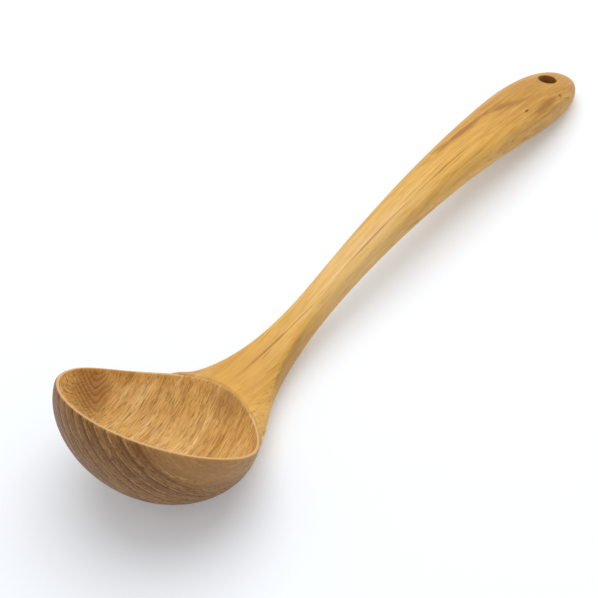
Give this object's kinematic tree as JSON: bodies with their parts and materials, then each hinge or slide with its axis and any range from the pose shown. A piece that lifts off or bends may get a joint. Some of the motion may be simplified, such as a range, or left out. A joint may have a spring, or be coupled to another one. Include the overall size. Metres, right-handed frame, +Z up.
{
  "type": "wooden ladle",
  "caption": "Wooden ladle with a round bowl, a rim that climbs into the root of a long arched handle, and a hanging hole in the handle's rounded end.",
  "frame": {"origin": "middle of the small flat under the bowl, on the surface that the ladle lies on", "axes": "+Z up from that surface, +X from the bowl to the handle's end, Y across the ladle"},
  "size_m": [0.327, 0.088, 0.0666],
  "materials": {
    "bowl_wood": "oiled satin",
    "handle_wood": "oiled satin",
    "peg_wood": "oiled satin, end grain"
  },
  "bodies": {
    "root": {"bowl": "bowl_wood", "handle": "handle_wood", "joint_peg": "peg_wood"}
  },
  "joints": []
}
